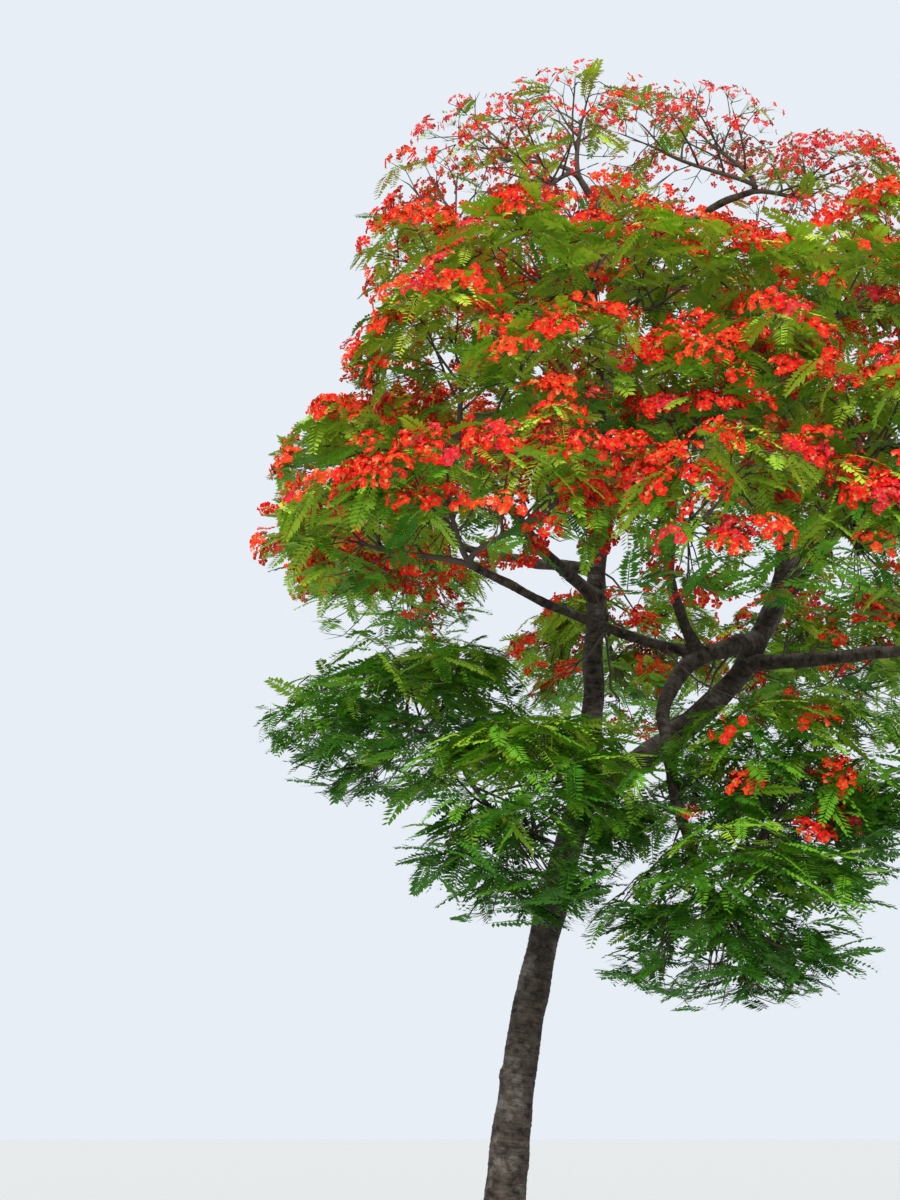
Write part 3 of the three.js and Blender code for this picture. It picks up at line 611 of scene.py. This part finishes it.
def growMass(own):
    sort, spread, centre, line = sorts[own], spreads[own], centres[own], lines[holders[own]]
    draw = np.random.default_rng(growth["seed"] * (own + 1))
    start = line[-4]  # just inside the bough's end
    away = centre - start
    arrives = direction(math.degrees(math.atan2(away[1], away[0])), growth["stemClimb"])
    stem = bentBetween(start, centre, headingsOf(line)[-1], arrives, stemRings)
    stemPaths.append(stem)
    swing = draw.uniform(0, 2 * math.pi)
    branches, hubs, terraces, lobes, patches = zip(*growBranches(own, stem, swing, draw))
    # twigs spring from the outer half of the stem and from the branches
    samples = np.vstack([stem[7:]] + [branch[2:] for branch in branches])
    tangents = np.vstack([headingsOf(stem)[7:]] + [headingsOf(branch)[2:] for branch in branches])
    share = growth["anyTwigs"] + growth["fullTwigs"] * fullnesses[own]
    count = round(growth["twigs"][sort] * (spread / growth["usualSpread"]) ** 2 * share)
    for k in range(count):
        out = spiralled(k, count, growth["twigOut"])
        heading = swing + 1 + k * goldenAngle
        flat = np.array([math.cos(heading), math.sin(heading), 0]) * out * spread
        hub = np.argmin([np.linalg.norm(flat - h) for h in hubs])
        level = domeLevel(out, draw.uniform()) + terraces[hub]
        if draw.uniform() < growth["hanging"][sort] * min(out / growth["flank"], 1):
            level -= draw.uniform(*growth["hangs"])
        flat = flat + (hubs[hub] - flat) * growth["gather"][sort]
        place = centre + (flat + up * spread * flatness * level) * lobes[hub]
        reach = place - samples
        length = np.linalg.norm(reach, axis=1)
        forward = (reach * tangents).sum(1) / np.maximum(length, 1e-6)
        foot = np.argmin(length * (growth["turnCost"] - forward))
        tip = drawnIn(place, samples[foot], own)
        if tip is None or length[foot] < growth["shortest"]:
            continue
        outward = unit(tip - samples[foot])
        leaves = unit(outward + tangents[foot] * growth["follow"] + draw.normal(0, growth["twigSway"], 3))
        arrives = levelled(outward, growth["twigEnd"], draw.uniform(*growth["twigLift"]))
        twig = bentBetween(samples[foot], tip, leaves, arrives, twigRings)
        twigPaths.append(twig)
        ends.append((own, tip, arrives, True, patches[hub]))
        growSideTwigs(own, twig, patches[hub], draw)


for own in range(len(masses)):
    growMass(own)

# Thin bare shoots stand out from the low boughs round the fork
bareShoots = {
    "boughs": {"right_leader": (0.45, 0.9), "cross_bough": (0.2, 1.0), "drooping_bough": (0.25, 0.9),
               "long_right_bough": (0.08, 0.5), "front_low_bough": (0.05, 0.45),
               "low_left_bough": (0.2, 0.7)},
    "perBough": 4, "reach": (0.45, 1.0), "climbs": (-45, 30), "sag": 0.1, "sway": 0.5, "kink": 0.16,
    "forks": 3, "forkShares": (0.35, 0.9), "forkReach": (0.15, 0.35), "forkSway": 0.6, "seed": 61,
}


def growBareShoot(name, between, draw):
    foot = placesAt(lines[name], [draw.uniform(*between)])[0]
    out = direction(draw.uniform(0, 360), draw.uniform(*bareShoots["climbs"]))
    reach = draw.uniform(*bareShoots["reach"])
    tip = foot + out * reach - up * bareShoots["sag"] * reach
    leaves = unit(out + draw.normal(0, bareShoots["sway"], 3))
    shoot = bentBetween(foot, tip, leaves, levelled(out, 1, 0.6), branchRings)
    shoot[2:6] += draw.normal(0, bareShoots["kink"] / branchRings, (4, 3))
    branchPaths.append(shoot)
    for share in draw.uniform(*bareShoots["forkShares"], bareShoots["forks"]):
        ring = 1 + int(share * 5)
        aside = unit(out + draw.normal(0, bareShoots["forkSway"], 3))
        end = shoot[ring] + aside * draw.uniform(*bareShoots["forkReach"])
        twigPaths.append(bentBetween(shoot[ring], end, aside, levelled(aside, 1, 0.5), twigRings))


draw = np.random.default_rng(bareShoots["seed"])
for name, between in bareShoots["boughs"].items():
    for _ in range(bareShoots["perBough"]):
        growBareShoot(name, between, draw)
print("twigs:", len(twigPaths), "side twigs:", len(sideTwigPaths), "ends:", len(ends))


def seasonedTwig():
    # Young wood, grown: smooth grey-brown skin, a little satin
    return newMaterial("seasonedTwig", "#4b4037", 0.8)


def greenTwig():
    # This year's shoots, grown: soft green skin
    return newMaterial("greenTwig", "#69752f", 0.6)


def addTwigs():
    vertices, faceSets, offset = [], [], 0
    kinds = [(stemPaths, growth["stemRadii"], 8, 0), (branchPaths, growth["branchRadii"], 5, 0),
             (twigPaths, growth["twigRadii"], 3, 0), (sideTwigPaths, growth["sideRadii"], 3, 1)]
    for paths, radii, sides, which in kinds:
        paths = np.array(paths)
        widths = np.broadcast_to(np.linspace(*radii, paths.shape[1]), paths.shape[:2])
        points, *corners = tubes(paths, widths, sides)
        vertices.append(points)
        faceSets += [(c + offset, which) for c in corners]
        offset += len(points)
    return joined("twigs", np.vstack(vertices), faceSets, [seasonedTwig(), greenTwig()], smooth=True)


twigs = addTwigs()
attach(twigs, "root")
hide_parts(*massNames)

# A feathery leaf: a drooping midrib with pairs of folded blades, each standing for a row of leaflets
leaf = {
    "lengths": (0.36, 0.54), "shorter": (1.0, 0.85, 0.7), "pairs": 12, "bare": 0.13, "widest": 0.22,
    "bladeWidth": 0.46, "angles": (72, 42), "fold": 0.16, "droops": (0.10, 0.22, 0.36, 0.5),
    "perEnd": 3.5, "besideBlossom": 0.8, "fan": 1.35, "fanSway": 0.3, "setBack": 0.10, "roll": 25,
    "climbs": {"low": (-0.55, 0.35), "top": (-0.4, 0.6), "other": (-0.6, 0.5)},
    "underBlossom": (-0.8, 0.1), "seed": 2027,
}


def leafShape(droop, seed):  # length 1 along X
    draw = np.random.default_rng(seed)
    shares = np.linspace(leaf["bare"], 0.97, leaf["pairs"])

    def rib(x):
        return np.stack([x * (1 - 0.25 * droop * x), 0 * x, -droop * x ** 2], axis=-1)

    points, faces = [], []
    spine = rib(np.array([0, 0.5, 1.0]))
    half = np.array([0.010, 0.008, 0.003])
    for place, width in zip(spine, half):
        points += [place + (0, -width, 0), place + (0, width, 0)]
    for a in (0, 2):
        faces += [(a, a + 2, a + 3), (a, a + 3, a + 1)]
    for k, share in enumerate(shares):
        rank = k / (leaf["pairs"] - 1)
        size = leaf["widest"] * math.sin(math.pi * (0.20 + 0.66 * rank)) ** 0.7
        for way in (-1, 1):
            angle = math.radians(np.interp(rank, (0, 1), leaf["angles"]) + draw.normal(0, 5))
            length = size * draw.uniform(0.88, 1.08)
            out = np.array([math.cos(angle), way * math.sin(angle), draw.normal(-0.12, 0.10)])
            over = np.array([-math.sin(angle), way * math.cos(angle), 0])
            across = over * length * leaf["bladeWidth"] / 2
            foot = rib(np.array(share + 0.01 * way))
            middle = foot + out * length * 0.45 - up * length * leaf["fold"] * 0.3
            first = len(points)
            points += [foot, middle - across, foot + out * length - up * length * 0.08, middle + across]
            faces += [(first, first + 1, first + 2), (first, first + 2, first + 3)]
    return np.array(points), np.array(faces)


leafGreens = {  # painted light and shade: copies of one leaf green, from the sunlit tops down to the shaded skirts
    "sunlitLeaf": "#b6cb40", "brightLitLeaf": "#a3c334", "halfLitLeaf": "#8cb52c", "shadedLeaf": "#629a20",
    "deepShadeLeaf": "#3a7214",
}


def livingLeaf(name, colour):
    # A living leaf, grown: thin, soft, half matt, so that light spreads over it
    return newMaterial(name, colour, 0.6, 0.2)


greens = [livingLeaf(name, colour) for name, colour in leafGreens.items()]
leafShapes = [leafShape(droop, 40 + k) for k, droop in enumerate(leaf["droops"])]

# Blossom opens on the tops and outer flanks of the masses, in patches
bloom = {
    "least": 0.5, "above": 0.7, "outward": 0.55, "often": 1.25, "even": 1.25, "sideTwig": 0.8, "seed": 303,
}


def bloomChance(own, place, isMain, patch):
    away = (place - centres[own]) / (spreads[own], spreads[own], massHeights[own])
    chance = bloom["least"] + bloom["above"] * away[2] + bloom["outward"] * math.hypot(away[0], away[1])
    patchy = patch ** (bloom["even"] - blooms[own])  # the more a mass blooms, the less patchy it is
    return chance * (bloom["often"] * blooms[own] * patchy * (1.0 if isMain else bloom["sideTwig"]))


draw = np.random.default_rng(bloom["seed"])
inBloom = [draw.uniform() < bloomChance(own, place, isMain, patch)
           for own, place, _, isMain, patch in ends]

# Which green a leaf takes, as painted light and shade: brighter on top of a mass and high in the crown,
# darker in the low masses
tone = {
    "middle": 2.75, "perMass": 1.6, "perCrown": 1.1, "crownFoot": 4.5, "crownHeight": 7.5,
    "shade": {"low": 0.85, "top": -0.3, "other": -0.25}, "sway": 0.65,
}


def greenOf(own, height, shade):
    high = (centres[own][2] - tone["crownFoot"]) / tone["crownHeight"]
    green = tone["middle"] - tone["perMass"] * height - tone["perCrown"] * high + shade
    return int(np.clip(round(green), 0, len(greens) - 1))


def layLeaves():  # mass, root, heading, length, shape, green and roll of each leaf
    draw = np.random.default_rng(leaf["seed"])
    found = []
    for (own, place, outward, *_), opens in zip(ends, inBloom):
        sort = sorts[own]
        heading = math.atan2(outward[1], outward[0])
        count = int(leaf["perEnd"] * fullnesses[own] * (leaf["besideBlossom"] if opens else 1.0)
                    + draw.uniform())
        for k in range(count):
            turn = heading + (k - (count - 1) / 2) * leaf["fan"] + draw.normal(0, leaf["fanSway"])
            climb = draw.uniform(*(leaf["underBlossom"] if opens else leaf["climbs"][sort]))
            root = place - outward * draw.uniform(0.0, leaf["setBack"])
            length = draw.uniform(*leaf["lengths"])
            shape = draw.integers(len(leafShapes))
            shade = draw.normal(tone["shade"][sort], tone["sway"])
            along = unit(np.array([math.cos(turn), math.sin(turn), climb]))
            for size in leaf["shorter"]:  # a leaf that would leave its mass is a shorter one
                tip = root + along * length * size - up * leaf["droops"][shape] * length * size
                if staysInside(tip[None], own)[0]:
                    green = greenOf(own, (place[2] - centres[own][2]) / massHeights[own], shade)
                    roll = draw.uniform(-leaf["roll"], leaf["roll"])
                    found.append((own, root, along, length * size, shape, green, roll))
                    break
    return found


leaves = layLeaves()
print("leaves:", len(leaves))


def addLeaves(section):
    vertices, faceSets, offset = [], [], 0
    mine = [one for one in leaves if sections[one[0]] == section]
    for own, root, along, length, shape, green, roll in mine:
        points, faces = leafShapes[shape]
        side = unit(np.cross(up, along))
        rise = np.cross(along, side)
        turn = math.radians(roll)
        across = side * math.cos(turn) + rise * math.sin(turn)
        over = np.cross(along, across)
        vertices.append(root + points @ np.array([along, across, over]) * length)
        faceSets.append((faces + offset, green))
        offset += len(points)
    piece = joined("leaves_" + section, np.vstack(vertices), faceSets, greens)
    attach(piece, "root")
    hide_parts(*[name for name in massNames if masses[name][7] == section])


for section in dict.fromkeys(sections):
    addLeaves(section)

# Blossom: open flowers in flat-topped clusters on stalks above the leaves, with buds between.
# Colours are the shares of scarlet, orange-red and crimson heads: the crimson heads are scarlet blossom
# with painted backlight, set mostly at the top, and the orange-red heads are scarlet blossom with painted
# shade
flower = {
    "radius": 0.055, "sizes": {"top": 0.72, "other": 1}, "sizeSway": (0.85, 1.12),
    "perHead": {"top": (6, 9), "other": (9, 13)},
    "colours": {"top": (0.25, 0.05, 0.7), "other": (0.58, 0.28, 0.14)},
    "headRadius": 0.17, "headHeight": 0.11, "heights": (0.75, 1.1), "lean": 0.9, "leanSway": 0.15,
    "turnSway": 0.2, "facingSway": 0.25, "stalk": 0.0022, "seed": 515,
}
bud = {"radius": 0.012, "sizes": (0.7, 1.2), "perHead": 3, "heights": (1.0, 1.5), "scatter": 0.035}


def flowerShape(seed, hasPale):  # five spoon petals over a cup of sepals; radius 1, facing Z
    draw = np.random.default_rng(seed)
    points, petals, pale = [], [], []
    for k in range(5):
        angle = 2 * math.pi * k / 5 + draw.normal(0, 0.08)
        out = np.array([math.cos(angle), math.sin(angle), 0])
        side = np.array([-out[1], out[0], 0])
        size = draw.uniform(0.88, 1.06)
        first = len(points)
        points += [
            out * 0.06,
            out * 0.66 * size - side * 0.42 * size + up * (0.20 + draw.normal(0, 0.08)),
            out * size + up * (0.02 + draw.normal(0, 0.12)),
            out * 0.66 * size + side * 0.42 * size + up * (0.20 + draw.normal(0, 0.08)),
        ]
        petal = pale if hasPale and k == 0 else petals
        petal += [(first, first + 1, first + 2), (first, first + 2, first + 3)]
    first = len(points)
    points.append(-up * 0.16)
    for k in range(5):
        angle = 2 * math.pi * (k + 0.5) / 5
        points.append(np.array([math.cos(angle), math.sin(angle), 0.28]) * 0.30)
    sepals = [(first, first + 1 + (k + 1) % 5, first + 1 + k) for k in range(5)]
    return np.array(points), np.array(petals), np.array(pale, int).reshape(-1, 3), np.array(sepals)


# crimson petals carry painted backlight and orange-red petals carry painted shade
flowerColours = {
    "scarletPetal": "#e41b17", "shadedOrangeRedPetal": "#e9371b", "backlitCrimsonPetal": "#d61f38",
    "paleStandard": "#e8784e", "greenSepal": "#a8902c", "greenBud": "#9fa236",
}


def silkyPetal(name, colour):
    # A fresh petal, grown: thin and silky, with a soft sheen
    return newMaterial(name, colour, 0.6, 0.12)


petalMaterials = [silkyPetal(name, colour) for name, colour in flowerColours.items()]
budShape = np.array([(1, 0, 0), (0, 1, 0), (-1, 0, 0), (0, -1, 0), (0, 0, 1.6), (0, 0, -1.4)])
budFaces = np.array([(k, (k + 1) % 4, 4) for k in range(4)] + [((k + 1) % 4, k, 5) for k in range(4)])


def framesFor(axes, draw):  # two sideways directions for each heading, turned at random
    quiet = np.eye(3)[np.argmin(np.abs(axes), axis=1)]
    side = unit(np.cross(quiet, axes))
    other = np.cross(axes, side)
    turn = draw.uniform(0, 2 * np.pi, len(axes))[:, None]
    first = side * np.cos(turn) + other * np.sin(turn)
    return first, np.cross(axes, first)


def layBlossom():  # flowers, buds and the stalks that carry both
    draw = np.random.default_rng(flower["seed"])
    flowers, buds, stalks = [], [], []
    for (own, place, outward, *_), opens in zip(ends, inBloom):
        if not opens:
            continue
        crown = "top" if sections[own] == "top" else "other"
        away = (place - centres[own]) / spreads[own]
        lean = (outward * (1, 1, 0) + away * (1, 1, 0)) * flower["lean"]
        axis = unit(up + lean + draw.normal(0, flower["leanSway"], 3))
        side = unit(np.cross(axis, (0.3, 0.9, 0.1)))
        other = np.cross(axis, side)
        colour = draw.choice(3, p=flower["colours"][crown])
        count = draw.integers(*flower["perHead"][crown], endpoint=True)
        radius = flower["radius"] * flower["sizes"][crown]
        for k in range(count):
            out = math.sqrt((k + 0.4) / count)
            swing = k * goldenAngle + draw.normal(0, flower["turnSway"])
            away = side * math.cos(swing) + other * math.sin(swing)
            dome = 1.3 - 0.6 * out ** 2
            spot = place + axis * flower["headHeight"] * dome * draw.uniform(*flower["heights"])
            spot = spot + away * out * flower["headRadius"]
            facing = unit(axis * 0.9 + away * out * 1.1 + draw.normal(0, flower["facingSway"], 3))
            if not staysInside(spot[None], own)[0]:
                continue
            flowers.append((spot, facing, radius * draw.uniform(*flower["sizeSway"]), colour, own))
            stalks.append((place, spot - facing * 0.01))
        for _ in range(bud["perHead"]):
            spot = place + axis * flower["headHeight"] * draw.uniform(*bud["heights"])
            spot = spot + draw.normal(0, bud["scatter"], 3)
            if staysInside(spot[None], own)[0]:
                buds.append((spot, axis, bud["radius"] * draw.uniform(*bud["sizes"]), own))
                stalks.append((place, spot))
    return flowers, buds, stalks


flowers, buds, stalks = layBlossom()
print("flowers:", len(flowers), "buds:", len(buds))


def placed(shape, spots, axes, sizes, draw):  # one shape's points, set at many spots
    first, second = framesFor(axes, draw)
    x, y, z = (shape[None, :, k:k + 1] for k in range(3))
    turned = x * first[:, None] + y * second[:, None] + z * axes[:, None]
    return (spots[:, None] + turned * sizes[:, None, None]).reshape(-1, 3)


def repeated(faces, firsts):  # one shape's faces, for each copy's first point
    return (firsts[:, None, None] + faces).reshape(-1, faces.shape[1])


def addBlossom(section):
    draw = np.random.default_rng(88)
    shapes = [flowerShape(60 + k, k % 3 == 0) for k in range(6)]
    here = [one for one in flowers if sections[one[-1]] == section]
    spots, axes, sizes, colours = (np.array([one[k] for one in here]) for k in range(4))
    pick = draw.integers(len(shapes), size=len(here))
    vertices, faceSets, offset = [], [], 0
    for k, (points, petals, pale, sepals) in enumerate(shapes):
        mine = pick == k
        vertices.append(placed(points, spots[mine], axes[mine], sizes[mine], draw))
        firsts = offset + np.arange(mine.sum()) * len(points)
        faceSets.append((repeated(petals, firsts), np.repeat(colours[mine], len(petals))))
        faceSets += [(repeated(pale, firsts), 3), (repeated(sepals, firsts), 4)]
        offset += len(vertices[-1])
    here = [one for one in buds if sections[one[-1]] == section]
    spots, axes, sizes = (np.array([one[k] for one in here]) for k in range(3))
    vertices.append(placed(budShape, spots, axes, sizes, draw))
    firsts = offset + np.arange(len(here)) * len(budShape)
    faceSets.append((repeated(budFaces, firsts), 5))
    piece = joined("blossom_" + section, np.vstack(vertices), faceSets, petalMaterials)
    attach(piece, "root")
    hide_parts(*[name for name in massNames if masses[name][7] == section])


for section in dict.fromkeys(sections):
    addBlossom(section)


def addStalks():  # each one a slender three-sided spike
    feet, tips = (np.array([stalk[k] for stalk in stalks]) for k in range(2))
    side = unit(np.cross(tips - feet, (0.2, 0.3, 0.9))) * flower["stalk"]
    other = unit(np.cross(tips - feet, side)) * flower["stalk"]
    turns = [0, 2 * math.pi / 3, 4 * math.pi / 3]
    base = [feet + side * math.cos(turn) + other * math.sin(turn) for turn in turns]
    vertices = np.stack(base + [tips], axis=1).reshape(-1, 3)
    faces = repeated(np.array([(0, 1, 3), (1, 2, 3), (2, 0, 3)]), np.arange(len(stalks)) * 4)
    return joined("flower_stalks", vertices, [(faces, 0)], [greenTwig()])


flowerStalks = addStalks()
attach(flowerStalks, "root")
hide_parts(*massNames)

# Pale floor, pale even sky, one broad soft light from above and a weaker, broader one from the front
studio = {
    "floor": "#c8c8c4", "sky": "#e8eef6", "skyStrength": 1.0,
    "sun": {"strength": 2.1, "angle": 30, "turn": (46, -14)},
    "fill": {"strength": 1.5, "angle": 50, "turn": (80, -20)},
}
bpy.ops.mesh.primitive_circle_add(vertices=128, radius=300, fill_type="NGON")
floor = bpy.context.object
floor.name = "floor"
floor.data.materials.append(newMaterial("matPaint", studio["floor"], 0.9))
world = bpy.data.worlds.new("paleSky")
scene.world = world
world.use_nodes = True
world.node_tree.nodes["Background"].inputs["Color"].default_value = linear(studio["sky"])
world.node_tree.nodes["Background"].inputs["Strength"].default_value = studio["skyStrength"]
for kind in ("sun", "fill"):
    light = studio[kind]
    bpy.ops.object.light_add(type="SUN", rotation=(*[math.radians(a) for a in light["turn"]], 0))
    bpy.context.object.name = kind
    bpy.context.object.data.energy = light["strength"]
    bpy.context.object.data.angle = math.radians(light["angle"])
scene.view_settings.view_transform = "Standard"
